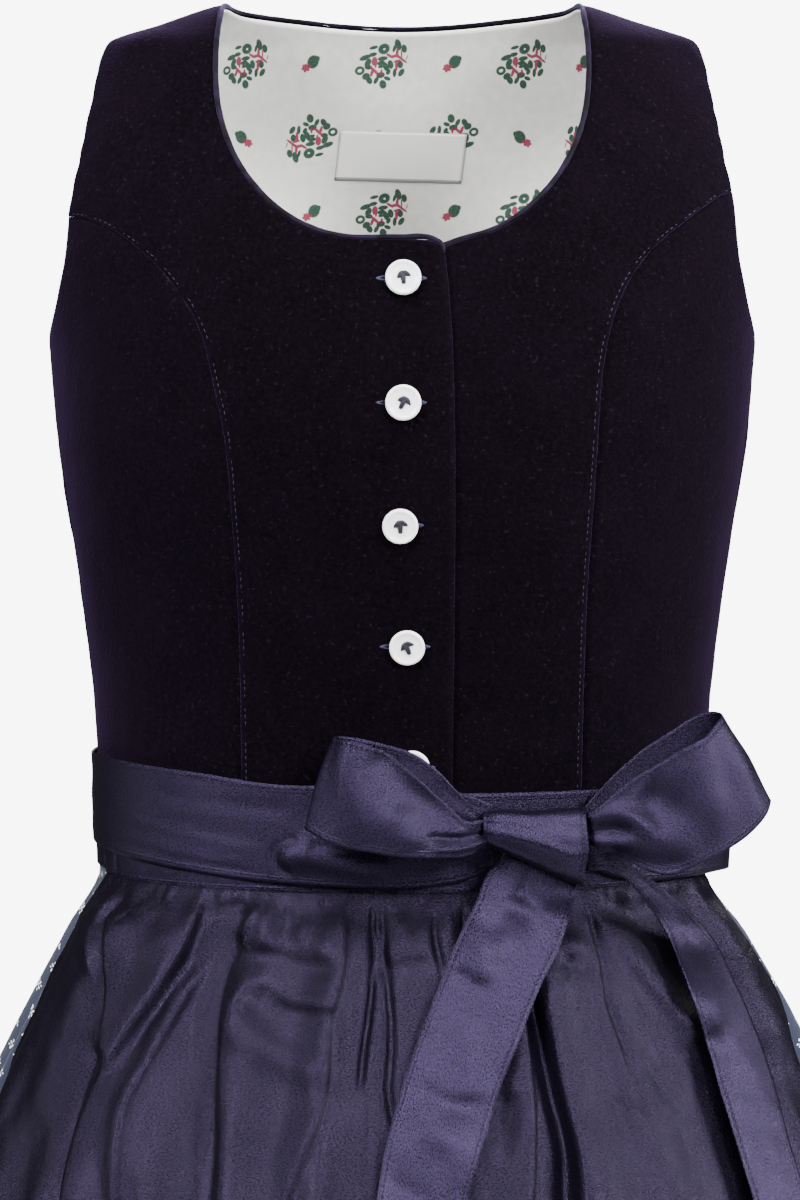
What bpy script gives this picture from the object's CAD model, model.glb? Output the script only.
from math import cos, pi, radians, sin

import bmesh
import bpy
import numpy as np
from mathutils import Matrix, Vector


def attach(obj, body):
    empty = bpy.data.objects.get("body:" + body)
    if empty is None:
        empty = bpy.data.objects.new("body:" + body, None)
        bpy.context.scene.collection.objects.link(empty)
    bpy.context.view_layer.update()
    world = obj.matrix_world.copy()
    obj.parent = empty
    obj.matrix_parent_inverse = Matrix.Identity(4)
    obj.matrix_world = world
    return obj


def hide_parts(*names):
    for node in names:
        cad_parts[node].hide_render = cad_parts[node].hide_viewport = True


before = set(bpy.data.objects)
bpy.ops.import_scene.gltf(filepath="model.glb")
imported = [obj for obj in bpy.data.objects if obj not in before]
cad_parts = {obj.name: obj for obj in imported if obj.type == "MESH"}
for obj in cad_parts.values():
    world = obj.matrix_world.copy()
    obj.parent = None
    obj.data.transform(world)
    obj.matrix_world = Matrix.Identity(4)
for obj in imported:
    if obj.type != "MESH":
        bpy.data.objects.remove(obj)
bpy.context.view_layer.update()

# ---- Velvet bodice ----
# Seven panels of cotton velvet, cut to a hollow figure and joined by princess and side seams.
# The panels are 2 mm thick with their backing, and plain navy calico shows on their inner side.

mm = 0.001
velvet_wall = 2.0
waist_seam = -305
finer = 5  # each step of the solids' walls is parted into this many
FRONT, BACK = -1, 1


def ease(low, high, value):
    share = np.clip((value - low) / (high - low), 0, 1)
    return share * share * (3 - 2 * share)


def smooth_line(keys, values, tangents):
    def at(key):
        key = np.clip(np.asarray(key, float), keys[0], keys[-1])
        index = np.clip(np.searchsorted(keys, key, side="right") - 1, 0, len(keys) - 2)
        span = (keys[index + 1] - keys[index])[..., None]
        t = (key - keys[index])[..., None] / span
        return (
            (2 * t**3 - 3 * t**2 + 1) * values[index]
            + (3 * t**2 - 2 * t**3) * values[index + 1]
            + (t**3 - 2 * t**2 + t) * span * tangents[index]
            + (t**3 - t**2) * span * tangents[index + 1]
        )

    return at


def table(names, rows):
    """Columns joined by smooth curves that never overshoot; the first column is the key."""
    rows = np.array(sorted(rows), float)
    keys, values = rows[:, 0], rows[:, 1:]
    slopes = np.diff(values, axis=0) / np.diff(keys)[:, None]
    before, after = slopes[:-1], slopes[1:]
    sums = np.where(before * after > 0, before + after, 1)
    middle = np.where(before * after > 0, 2 * before * after / sums, 0)
    at = smooth_line(keys, values, np.vstack([slopes[:1], middle, slopes[-1:]]))

    def named(key):
        found = at(key)
        return {name: found[..., place] for place, name in enumerate(names)}

    return named


def curve(places):
    """A smooth line through some places, by its share of length."""
    places = np.asarray(places, float)
    gaps = np.linalg.norm(np.diff(places, axis=0), axis=1)
    keys = np.concatenate([[0], np.cumsum(gaps)]) / gaps.sum()
    slopes = np.diff(places, axis=0) / np.diff(keys)[:, None]
    left, right = np.diff(keys)[:-1, None], np.diff(keys)[1:, None]
    middle = (slopes[:-1] * right + slopes[1:] * left) / (left + right)
    return smooth_line(keys, places, np.vstack([slopes[:1], middle, slopes[-1:]]))


# Level sections of the bodice's outside: each is an oval, squarer as its last column grows.
bodice = table(("half", "front", "back", "square"), [
    (14, 40, 24, 24, 2.2),
    (8, 66.7, 36, 36, 2.2),
    (0, 91, 43, 44, 2.2),
    (-7, 111.3, 48, 50, 2.2),
    (-25, 122, 60, 63, 2.25),
    (-48, 131, 72, 76, 2.3),
    (-70, 136.2, 82, 84, 2.3),
    (-93, 136.4, 89, 88, 2.3),
    (-116, 134.6, 93, 89, 2.3),
    (-150, 131.9, 95, 87, 2.3),
    (-173, 128.9, 93, 83, 2.3),
    (-219, 122.2, 87, 76, 2.25),
    (-260, 117.6, 82, 72, 2.2),
    (-300, 116, 80, 71, 2.2),
    (-325, 116, 80, 71, 2.2),
])


def oval_size(x, y, z):
    """1 on the bodice's outside, less within it and more beyond it."""
    section = bodice(z)
    depth = np.where(y > 0, section["back"], section["front"])
    square = section["square"]
    return (np.abs(x / section["half"]) ** square + np.abs(y / depth) ** square) ** (1 / square)


def growth(places):
    x, y, z = np.moveaxis(places, -1, 0)
    step = 0.2
    ways = [
        oval_size(x + step, y, z) - oval_size(x - step, y, z),
        oval_size(x, y + step, z) - oval_size(x, y - step, z),
        oval_size(x, y, z + step) - oval_size(x, y, z - step),
    ]
    return np.stack(ways, -1) / (2 * step)


def unit(ways):
    return ways / np.linalg.norm(ways, axis=-1, keepdims=True)


def outwards(places):
    return unit(growth(places))


def onto_form(places):
    """Places moved straight in or out onto the bodice's outside."""
    for _ in range(5):
        slope = growth(places)
        excess = oval_size(*np.moveaxis(places, -1, 0)) - 1
        places = places - slope * (excess / (slope**2).sum(-1))[..., None]
    return places


def face_places(rows, side, face):
    """Places on the front or the back, from their distance from the middle and their height."""
    rows = np.asarray(rows, float)
    section = bodice(rows[:, 1])
    depth = section["back"] if face > 0 else section["front"]
    across = np.minimum(np.abs(rows[:, 0] / section["half"]), 1) ** section["square"]
    y = face * depth * (1 - across) ** (1 / section["square"])
    return np.column_stack([side * rows[:, 0], y, rows[:, 1]])


def side_places(rows, side):
    """Places on one side, from how far they lie behind the shoulder line and their height."""
    rows = np.asarray(rows, float)
    section = bodice(rows[:, 1])
    depth = np.where(rows[:, 0] > 0, section["back"], section["front"])
    across = np.minimum(np.abs(rows[:, 0] / depth), 1) ** section["square"]
    x = side * section["half"] * (1 - across) ** (1 / section["square"])
    return np.column_stack([x, rows[:, 0], rows[:, 1]])


def stretch(line, count, start=0.0, end=1.0, crowding=1.0):
    """Points along part of a line; a crowding above 1 brings them together near its start."""
    shares = np.linspace(0, 1, count * finer + 1) ** crowding
    return onto_form(line(start + (end - start) * shares))


# Armholes: forward or back of the shoulder line, and height.
armhole_front = [(0, -7), (-11, -13), (-21, -25), (-33, -48), (-38.5, -70), (-37.5, -92),
                 (-31.5, -104), (-22, -112), (-13, -116.5)]
armhole_back = [(0, -7), (12, -14), (29, -33), (38, -58), (39.5, -84), (37, -105),
                (29, -117), (14, -123), (0, -122), (-13, -116.5)]

# Neckline and front edges: distance from the middle, and height.
neck_front = [(67.4, 7.8), (68.6, 2.5), (69.4, -7), (69.5, -18), (67.6, -33.6), (61.8, -48.8),
              (53.4, -60.7), (44, -69.1), (33, -75), (22.4, -77.8), (12, -78.4), (0, -78.2)]
neck_underlap = [(12, -81.2), (0, -82.6), (-17, -83)]
neck_back = [(67.4, 7.8), (60, 5.2), (50, 3.6), (39.3, 2.3), (20, 0.3), (0, -0.5)]
placket_edge = [(14.6, -80.6), (16.2, -88), (17.5, -101), (18.6, -119), (19.4, -150),
                (19.4, -211), (18.7, -275), (18.4, waist_seam)]

# Princess seams, armhole to waist: distance from the middle, and height.
princess_right = [(118.7, -72.2), (111.3, -74.6), (104.3, -78.4), (97.4, -83.4), (89.8, -90.4),
                  (83, -98.5), (77.4, -107), (73.5, -116), (70.2, -130), (66, -149.5),
                  (63.2, -180), (61.2, -211), (60.2, -255), (60, waist_seam)]
princess_left = [(121, -63.2), (114, -67.2), (105.9, -72.8), (97.1, -79.4), (91.4, -84.6),
                 (86.4, -91), (81.7, -99), (78.2, -108), (74.6, -124), (72.8, -145),
                 (71.2, -172), (69, -206.5), (67.6, -255), (67, waist_seam)]
princess_back = [(117, -66), (106, -73), (95, -84), (86, -98), (79, -115), (73, -140),
                 (67, -175), (61, -215), (57, -260), (56, waist_seam)]


def princess_lines(armhole_rows, seam_rows, side, face, start, low_steps):
    armhole = curve(side_places(armhole_rows, side))
    shares = np.linspace(0, 1, 2000)
    split = np.interp(-start, -armhole(shares)[:, 2], shares)
    high = stretch(armhole, 5, 0, split)
    low = stretch(armhole, low_steps, split, 1)
    seam = curve(np.vstack([high[-1:], face_places(seam_rows, side, face)]))
    return {"high": high, "low": low, "seam": stretch(seam, 12, crowding=1.35)}


def side_seam(side):
    rows = [armhole_front[-1], (-17, -180), (-12, -235), (0, waist_seam)]
    return stretch(curve(side_places(rows, side)), 12, crowding=1.4)


def join(first, second):
    return np.vstack([first, second[1:]])


def straight(start, end, shares):
    return onto_form(start + (end - start) * shares[:, None])


def patch(top, bottom, left, right, across):
    """A panel's grid of points between its four edges."""
    down = np.linspace(0, 1, len(left))[:, None, None]
    across = across[None, :, None]
    sides = left[:, None] * (1 - across) + right[:, None] * across
    ends = top[None] * (1 - down) + bottom[None] * down
    corners = (top[0] * (1 - across) + top[-1] * across) * (1 - down)
    corners = corners + (bottom[0] * (1 - across) + bottom[-1] * across) * down
    return onto_form(sides + ends - corners)


def crowded(columns):
    """Shares from 0 to 1, closer together near both ends, where a panel rolls into its seams."""
    even = np.linspace(0, 1, columns + 1)
    return 0.3 * even + 0.7 * (1 - np.cos(pi * even)) / 2


neck_middle = np.array([0, -15, 10.0])
neck_inset = 0.8


def set_in(places, distance):
    """Moves a neckline over the cloth, away from the neck, to meet the rolled edge."""
    along = np.gradient(places, axis=0)
    way = unit(np.cross(along, outwards(places)))
    way = way * np.sign(((places - neck_middle) * way).sum(-1, keepdims=True))
    return onto_form(places + way * distance)


def lengths(grid):
    """How far each point of a grid lies along its row and down its column."""
    along = np.linalg.norm(np.diff(grid, axis=1), axis=2)
    down = np.linalg.norm(np.diff(grid, axis=0), axis=2)
    along = np.concatenate([np.zeros((len(grid), 1)), np.cumsum(along, axis=1)], axis=1)
    down = np.concatenate([np.zeros((1, grid.shape[1])), np.cumsum(down, axis=0)], axis=0)
    return along, down


def unevenness(places, size, seed):
    """Soft irregular swells about as wide as size, from -1 to 1."""
    chance = np.random.default_rng(seed)
    total = np.zeros(places.shape[:-1])
    for _ in range(7):
        way = chance.normal(size=3)
        way *= (0.6 + 0.8 * chance.random()) / np.linalg.norm(way) / size
        total += np.sin(2 * pi * (places @ way + chance.random()))
    return total / 3.2


sheet_edges = ("left", "right", "top", "low")


def borders(grid):
    along, down = lengths(grid)
    return along, along[:, -1:] - along, down, down[-1:] - down


def brought_forward(grid, distance):
    return grid - np.stack([0 * distance, distance, 0 * distance], -1)


shoulder_gap, shoulder_neck, shoulder_tip, shoulder_low = 1.35, 67, 110, -12


def closed_shoulder(grid):
    """Draws the cloth of a front or a back together over the shoulder, where the two are sewn."""
    across, away, z = np.abs(grid[..., 0]), np.abs(grid[..., 1]), grid[..., 2]
    share = np.clip((shoulder_tip - across) / (shoulder_tip - shoulder_neck), 0, 1)
    gap = shoulder_gap * share * (across > shoulder_neck - 7) * (z > shoulder_low)
    return brought_forward(grid, np.sign(grid[..., 1]) * gap * (1 - ease(1.5, 9, away)))


roll_depth, roll_width = 1.0, 1.1
pucker_pitch, pucker_height, pucker_reach = 13, 0.22, 10


def pressed(grid, lift=0.0, seed=1):
    """A panel's outside: rolled in at its edges, drawn into small puckers beside the seam."""
    left, right, top, low = borders(grid)
    nearest = np.minimum(np.minimum(left, right), np.minimum(top, low + 3))
    rise = -roll_depth * np.exp(-(nearest / roll_width) ** 2)
    ripple = np.sin(2 * pi * (top / pucker_pitch + 0.35 * unevenness(grid, 40, seed + 3)))
    rise = rise + pucker_height * ripple * np.exp(-(left / pucker_reach) ** 2) * ease(0, 40, top)
    rise = rise + 0.35 * unevenness(grid, 45, seed) * ease(0, 12, nearest)
    rise = rise + 0.12 * unevenness(grid, 14, seed + 1) * ease(0, 8, nearest)
    return closed_shoulder(grid + outwards(grid) * (rise + lift)[..., None])


class Shade:
    """A value in a material. Sums on it add Math nodes."""

    def __init__(self, tree, socket):
        self.tree, self.socket = tree, socket

    def sum(self, operation, first, second=None):
        inputs = {0: first} if second is None else {0: first, 1: second}
        return node(self.tree, "ShaderNodeMath", {"operation": operation}, inputs)

    def __add__(self, other):
        return self.sum("ADD", self, other)

    def __radd__(self, other):
        return self.sum("ADD", other, self)

    def __sub__(self, other):
        return self.sum("SUBTRACT", self, other)

    def __rsub__(self, other):
        return self.sum("SUBTRACT", other, self)

    def __mul__(self, other):
        return self.sum("MULTIPLY", self, other)

    def __rmul__(self, other):
        return self.sum("MULTIPLY", other, self)

    def __truediv__(self, other):
        return self.sum("DIVIDE", self, other)

    def __mod__(self, other):
        return self.sum("FLOORED_MODULO", self, other)

    def __abs__(self):
        return self.sum("ABSOLUTE", self)

    def floor(self):
        return self.sum("FLOOR", self)

    def sine(self):
        return self.sum("SINE", self)

    def least(self, other):
        return self.sum("MINIMUM", self, other)

    def most(self, other):
        return self.sum("MAXIMUM", self, other)

    def fade(self, low, high):
        """0 at or before low, 1 at or after high, with a soft change."""
        settings = {"interpolation_type": "SMOOTHSTEP"}
        return node(self.tree, "ShaderNodeMapRange", settings, {0: self, 1: low, 2: high})


def node(tree, kind, settings=(), inputs=(), output=0):
    """Adds a node: its settings, then the values or links of its inputs. Gives one output."""
    made = tree.nodes.new(kind)
    for name, value in dict(settings).items():
        setattr(made, name, value)
    for name, value in dict(inputs).items():
        if isinstance(value, Shade):
            tree.links.new(value.socket, made.inputs[name])
        else:
            made.inputs[name].default_value = value
    return Shade(tree, made.outputs[output]) if made.outputs else None


def new_material(name):
    material = bpy.data.materials.new(name)
    material.use_nodes = True
    material.node_tree.nodes.clear()
    return material, material.node_tree


def blend_colours(tree, share, first, second):
    return node(tree, "ShaderNodeMix", {"data_type": "RGBA"}, {0: share, 6: first, 7: second}, 2)


def noise(tree, places, scale, detail=2.0, distortion=0.0):
    inputs = {"Vector": places, "Scale": scale, "Detail": detail, "Distortion": distortion}
    return node(tree, "ShaderNodeTexNoise", (), inputs)


def bump(tree, height, distance, strength):
    inputs = {"Height": height, "Distance": distance, "Strength": strength}
    return node(tree, "ShaderNodeBump", (), inputs)


def object_places(tree):
    return node(tree, "ShaderNodeTexCoord", (), (), 3)


def cut_places(tree):
    return node(tree, "ShaderNodeTexCoord", (), (), 2)


def finish(tree, **sockets):
    """The surface itself; a name's low lines stand for the spaces in its socket's name."""
    inputs = {name.replace("_", " "): value for name, value in sockets.items()}
    shader = node(tree, "ShaderNodeBsdfPrincipled", (), inputs)
    node(tree, "ShaderNodeOutputMaterial", (), {0: shader})


def velvet_finish():
    material, tree = new_material("navy velvet")
    places = object_places(tree)
    pile = noise(tree, places, 1300, 2)
    nap = noise(tree, places, 42, 4, 0.5).fade(0.36, 0.68)
    tufts = noise(tree, places, 620, 3).fade(0.3, 0.75)
    lint = noise(tree, places, 700, 0).fade(0.73, 0.8)
    colour = blend_colours(tree, nap * 0.7, (0.0004, 0.0001, 0.0004, 1), (0.0013, 0.0005, 0.0014, 1))
    colour = blend_colours(tree, tufts * 0.55, colour, (0.0032, 0.0013, 0.0038, 1))
    colour = blend_colours(tree, lint * 0.15, colour, (0.02, 0.016, 0.026, 1))
    finish(
        tree, Base_Color=colour, Roughness=0.85 + 0.1 * pile, Specular_IOR_Level=0.03,
        Sheen_Weight=0.076, Sheen_Roughness=0.42, Sheen_Tint=(0.50, 0.27, 0.82, 1),
        Normal=bump(tree, pile + tufts * 0.3, 0.0004, 0.6),
    )
    return material


def part(tree, places, axis):
    return node(tree, "ShaderNodeSeparateXYZ", (), {0: places}, axis)


def weave(tree, places, pitch):
    """Plain weave: threads over and under each other, pitch millimetres apart."""
    x, y = (part(tree, places, axis) * (2 * pi / pitch / mm) for axis in (0, 1))
    return x.sine() * y.sine() * 0.5 + 0.5


def plain_cotton(name, pitch, cloudiness, dark, light, relief, strength):
    """Dyed cotton in plain weave, a little cloudy, with threads that stand up by the relief."""
    material, tree = new_material(name)
    cut = cut_places(tree)
    threads = weave(tree, cut, pitch)
    colour = blend_colours(tree, noise(tree, cut, cloudiness, 3), dark, light)
    finish(tree, Base_Color=colour, Roughness=0.9, Normal=bump(tree, threads, relief, strength))
    return material


velvet = velvet_finish()
calico = plain_cotton("navy calico", 0.42, 60, (0.012, 0.010, 0.018, 1), (0.022, 0.018, 0.032, 1),
                      0.0002, 0.6)


def map_over(mesh, name, flat):
    """A UV map from a grid of flat places in millimetres."""
    corners = np.empty(len(mesh.loops), np.int32)
    mesh.loops.foreach_get("vertex_index", corners)
    layer = mesh.uv_layers.get(name) or mesh.uv_layers.new(name=name)
    layer.data.foreach_set("uv", (flat.reshape(-1, 2) * mm)[corners].ravel())


def lay(name, grid, side=0, hems=()):
    """A sheet whose points are a grid in millimetres, with its cut in metres as its UV map, and
    a second map of the way along and the distance from its hems.
    side is 1 where its outside faces the way of its columns crossed with its rows, -1 where it
    faces the other way, and 0 where it faces away from the body's middle line."""
    rows, columns = grid.shape[:2]
    sheet = bmesh.new()
    bmesh.ops.create_grid(sheet, x_segments=columns - 1, y_segments=rows - 1, size=1)
    mesh = bpy.data.meshes.new(name)
    sheet.to_mesh(mesh)
    sheet.free()
    mesh.vertices.foreach_set("co", (grid * mm).ravel())
    along, down = lengths(grid)
    along = along - along[:, columns // 2][:, None]
    map_over(mesh, "cut", np.stack([along, -down], -1))
    if hems:
        away = np.min([dict(zip(sheet_edges, borders(grid)))[edge] for edge in hems], axis=0)
        map_over(mesh, "hem", np.stack([along + down, away], -1))
    facing = np.cross(grid[:-1, 1:] - grid[:-1, :-1], grid[1:, :-1] - grid[:-1, :-1])
    if side == 0:
        side = np.sign((facing[..., :2] * grid[:-1, :-1, :2]).sum())
    if side < 0:
        mesh.flip_normals()
    mesh.shade_smooth()
    piece = bpy.data.objects.new(name, mesh)
    bpy.context.scene.collection.objects.link(piece)
    return piece


def thicken(piece, thickness, outside, inside=None):
    piece.data.materials.append(outside)
    piece.data.materials.append(inside or outside)
    wall = piece.modifiers.new("wall", "SOLIDIFY")
    wall.thickness = thickness * mm
    wall.offset = -1
    wall.material_offset = 1


def belongs(piece, slot, *nodes):
    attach(piece, "root")
    if nodes:
        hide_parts(*nodes)


def velvet_panel(name, grid, neighbours):
    piece = lay(name + "_cloth", grid)
    thicken(piece, velvet_wall, velvet, calico)
    belongs(piece, "velvet", name)


right_lines = princess_lines(armhole_front, princess_right, -1, FRONT, -72, 4)
left_lines = princess_lines(armhole_front, princess_left, 1, FRONT, -63, 4)
back_lines = [princess_lines(armhole_back, princess_back, side, BACK, -64, 5) for side in (-1, 1)]
side_seams = {side: side_seam(side) for side in (-1, 1)}
front_steps = crowded(44)


def centre_front(lines, side, neck_rows, corner_rows, edge_rows):
    neck = np.vstack([face_places(neck_rows, side, FRONT), face_places(corner_rows, 1, FRONT)])
    neck = set_in(stretch(curve(neck), 10), neck_inset)
    edge = np.vstack([neck[-1:], face_places(edge_rows, 1, FRONT)])
    inside = join(neck, stretch(curve(edge), 7))
    outside = join(lines["high"], lines["seam"])
    top = straight(outside[0], inside[0], front_steps)
    bottom = straight(outside[-1], inside[-1], front_steps)
    return patch(top, bottom, outside, inside, front_steps)


def side_panel(lines, seam):
    across = crowded((len(lines["low"]) - 1) * 2)
    top = onto_form(curve(lines["low"])(across))
    bottom = straight(lines["seam"][-1], seam[-1], across)
    return patch(top, bottom, lines["seam"], seam, across)


overlap_depth, overlap_ends = velvet_wall + 0.9, (22, 58)


def underlap_lift(grid):
    behind = (grid[..., 1] < 0) & (grid[..., 2] < 0)
    return np.where(behind, -overlap_depth * (1 - ease(*overlap_ends, grid[..., 0])), 0)


right_front = centre_front(right_lines, -1, neck_front, [(10, -78.6)], placket_edge)
left_front = centre_front(left_lines, 1, neck_front[:-2], neck_underlap,
                          [(-18, -110), (-18, -200), (-18, waist_seam)])
velvet_panel("bodice_front_right", pressed(right_front, seed=11),
             ["bodice_side_front_right"])
velvet_panel("bodice_front_left", pressed(left_front, underlap_lift(left_front), seed=21),
             ["bodice_side_front_left"])
for name, lines, side, seed in (("right", right_lines, -1, 31), ("left", left_lines, 1, 41)):
    velvet_panel("bodice_side_front_" + name, pressed(side_panel(lines, side_seams[side]), seed=seed),
                 ["bodice_front_" + name])
    velvet_panel("bodice_side_back_" + name,
                 pressed(side_panel(back_lines[(side + 1) // 2], side_seams[side]), seed=seed + 5),
                 ["bodice_back"])


def centre_back():
    half = face_places(neck_back, 1, BACK)
    whole = np.vstack([half * (-1, 1, 1), half[-2::-1]])
    neck = set_in(stretch(curve(whole), 12), neck_inset)
    left, right = (join(lines["high"], lines["seam"]) for lines in back_lines)
    shoulder = np.linspace(0, 1, 3 * finer + 1)
    top = join(join(straight(left[0], neck[0], shoulder), neck), straight(neck[-1], right[0], shoulder))
    across = np.linspace(0, 1, len(top))
    bottom = np.vstack([left[-1:], face_places([(0, waist_seam)], 1, BACK), right[-1:]])
    return patch(top, onto_form(curve(bottom)(across)), left, right, across)


back = centre_back()
velvet_panel("bodice_back", pressed(back, seed=51), ["bodice_side_back_right"])

# ---- Princess seam stitching ----
# A row of short navy stitches beside each princess seam, two millimetres in on the centre panel.
# Polyester sewing thread, drawn a little into the pile.


def shape_of(name, build, *finishes):
    """An object from a function that fills a bmesh, smooth shaded."""
    shape = bmesh.new()
    build(shape)
    mesh = bpy.data.meshes.new(name)
    shape.to_mesh(mesh)
    shape.free()
    mesh.shade_smooth()
    for each in finishes:
        mesh.materials.append(each)
    piece = bpy.data.objects.new(name, mesh)
    bpy.context.scene.collection.objects.link(piece)
    return piece


def thread_finish(name, colour):
    material, tree = new_material(name)
    places = object_places(tree)
    ply = noise(tree, places, 2600, 1)
    light = tuple(1.7 * share for share in colour[:3]) + (1,)
    colour = blend_colours(tree, ply.fade(0.35, 0.7), colour, light)
    finish(tree, Base_Color=colour, Roughness=0.6, Specular_IOR_Level=0.25,
           Normal=bump(tree, ply, 0.0001, 0.5))
    return material


def stitch(shape, start, end, radius):
    """One stitch: a short thread with tapered ends, from start to end in millimetres."""
    middle = Vector((start + end) / 2 * mm)
    way = Vector(end - start)
    turn = way.to_track_quat("Z", "Y").to_matrix().to_4x4()
    size = Matrix.Diagonal((radius * mm, radius * mm, way.length / 2 * mm, 1))
    bmesh.ops.create_uvsphere(shape, u_segments=6, v_segments=5, radius=1,
                              matrix=Matrix.Translation(middle) @ turn @ size)


def stitch_row(shape, line, pitch, length, radius):
    """Stitches along a line of places, pitch apart."""
    gaps = np.linalg.norm(np.diff(line, axis=0), axis=1)
    reach = np.concatenate([[0], np.cumsum(gaps)])
    for place in np.arange(pitch, reach[-1] - pitch, pitch):
        ends = [np.array([np.interp(place + way * length / 2, reach, line[:, axis])
                          for axis in range(3)]) for way in (-1, 1)]
        stitch(shape, *ends, radius)


navy_thread = thread_finish("navy thread", (0.0055, 0.004, 0.014, 1))
seam_distance, stitch_pitch, stitch_length = 2.2, 2.6, 1.7
thread_radius, thread_sunk = 0.24, 0.12


def princess_stitching(shape):
    for grid in (right_front, left_front):
        line = grid[5 * finer:, :]
        along, _ = lengths(line)
        row = np.array([[np.interp(seam_distance, along[place], line[place, :, axis])
                         for axis in range(3)] for place in range(len(line))])
        stitch_row(shape, row + outwards(row) * -thread_sunk, stitch_pitch, stitch_length, thread_radius)


princess_thread = shape_of("princess_stitching", princess_stitching, navy_thread)
belongs(princess_thread, "velvet")

# ---- Lining and blank label ----
# Off-white cotton inside the back, printed with small leaf clusters and single berries in a
# half-drop repeat; the woven label at the back of the neck is blank, with fine dark edges.

lining_gap, cotton_wall, label_wall = 0.3, 0.6, 0.25
print_pitch = (55.5, 29.3)
# Leaves of one cluster: place, turn in degrees, half length and half width, in millimetres.
cluster_leaves = [
    (-8.5, -2.7, 20, 1.6, 1.4), (-6.4, 2.3, 20, 1.9, 0.8), (-3.0, 6.2, 15, 1.4, 0.55),
    (-3.4, 3.5, 15, 1.4, 0.65), (-5.3, 0.3, 60, 1.5, 0.9), (-5.1, -1.4, 0, 1.2, 0.75),
    (-6.1, -4.9, 30, 1.3, 1.05), (-4.9, -6.4, 120, 1.3, 0.95), (1.0, 5.7, 30, 1.9, 1.6),
    (0.5, 2.0, 10, 1.6, 0.7), (-0.2, 0.3, 15, 1.3, 0.7), (-0.2, -1.1, 10, 1.0, 0.5),
    (1.7, -1.2, 115, 1.6, 0.9), (3.5, -0.3, 100, 1.4, 0.9), (2.6, -3.2, 60, 1.0, 0.65),
    (2.2, -5.7, 160, 1.1, 0.65), (-0.4, -4.4, 10, 1.4, 0.95), (-2.1, -6.4, 60, 1.3, 0.65),
    (0.5, -8.0, 100, 1.4, 1.15), (6.5, 7.3, 105, 1.8, 1.0), (5.1, 6.0, 70, 1.3, 0.5),
    (8.8, 5.8, 100, 1.3, 0.9), (7.3, -0.3, 90, 1.2, 0.9), (5.1, -3.5, 85, 1.4, 0.6),
    (7.7, -3.4, 55, 1.4, 0.8),
]
# The pale hearts of its open leaves.
cluster_hearts = [(-8.5, -2.7, 20, 0.75, 0.55), (1.1, 5.6, 30, 0.4, 0.32)]
# Crimson twigs of the cluster, as strokes: place, turn, half length and half width.
cluster_twigs = [
    (-2.7, 0.9, 85, 1.3, 0.85), (-2.2, -0.5, 80, 0.9, 0.3), (-2.7, -2.8, 138, 1.7, 0.45),
    (-3.7, -3.4, 70, 1.3, 0.45), (0.0, -3.2, 90, 0.8, 0.35), (3.3, 3.0, 150, 1.2, 0.4),
    (5.0, 2.9, 10, 1.4, 0.42), (6.8, 2.6, 150, 1.4, 0.42), (8.4, 1.4, 145, 1.4, 0.35),
    (6.1, 4.2, 85, 1.3, 0.42), (7.8, 3.8, 92, 1.1, 0.22), (6.1, 1.0, 15, 1.1, 0.38),
    (5.8, -0.7, 92, 1.5, 0.42), (9.9, 2.4, 70, 0.8, 0.15),
]
single_leaves = [(0.8, 0.7, 60, 2.9, 2.4), (2.2, 1.7, 40, 1.6, 1.2)]
single_twigs = [(-2.0, -1.5, 20, 1.9, 0.8), (-2.3, -1.7, 80, 1.6, 0.75), (-2.1, -1.6, 140, 1.6, 0.8)]


def strokes(tree, places, rows, spread=1.0):
    """1 inside any of some small ovals, 0 outside."""
    nearest = None
    for x, y, turn, half_long, half_wide in rows:
        local = node(tree, "ShaderNodeMapping", {"vector_type": "TEXTURE"}, {
            "Vector": places, "Location": (x, y, 0), "Rotation": (0, 0, radians(turn)),
            "Scale": (half_long * spread, half_wide * spread, 1)})
        away = node(tree, "ShaderNodeVectorMath", {"operation": "LENGTH"}, {0: local}, 1)
        nearest = away if nearest is None else nearest.least(away)
    return 1 - nearest.fade(0.82, 1.08)


def repeat(tree, cut, pitch, start):
    """Places within a half-drop repeat, in millimetres from each of its two motifs. On every
    other row the first is turned half round and the second over."""
    across, down = (part(tree, cut, axis) * (1 / mm) - start[axis] for axis in (0, 1))
    row = (down / pitch[1] + 0.5).floor()
    odd = row % 2.0
    y = down - row * pitch[1]
    shifted = across / pitch[0] - odd * 0.5
    found = []
    for offset in (0.5, 0.0):
        x = (shifted + offset) % 1.0
        x = (x - 0.5) * pitch[0] * (1 - 2 * odd)
        turned = y * (1 - 2 * odd) if offset else y
        found.append(node(tree, "ShaderNodeCombineXYZ", (), {0: x, 1: turned, 2: 0.0}))
    return found


def lining_finish():
    material, tree = new_material("leaf print cotton")
    cut = cut_places(tree)
    clusters, singles = repeat(tree, cut, print_pitch, (-8, -14.3))
    ragged = noise(tree, cut, 1500, 2)
    leaves = strokes(tree, clusters, cluster_leaves, 1.32)
    leaves = leaves * (1 - strokes(tree, clusters, cluster_hearts, 1.2))
    leaves = leaves.most(strokes(tree, singles, single_leaves))
    twigs = strokes(tree, clusters, cluster_twigs, 1.45)
    twigs = twigs.most(strokes(tree, singles, single_twigs, 1.15))
    threads = weave(tree, cut, 0.36)
    slubs = noise(tree, cut, 240, 4)
    ground = blend_colours(tree, slubs.fade(0.3, 0.75), (0.885, 0.88, 0.835, 1), (0.965, 0.96, 0.925, 1))
    green = blend_colours(tree, ragged, (0.007, 0.042, 0.024, 1), (0.018, 0.088, 0.05, 1))
    colour = blend_colours(tree, leaves * (0.84 + 0.3 * ragged), ground, green)
    colour = blend_colours(tree, twigs * 0.96, colour, (0.31, 0.008, 0.055, 1))
    finish(tree, Base_Color=colour, Roughness=0.88, Normal=bump(tree, threads, 0.00015, 0.6))
    return material


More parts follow.
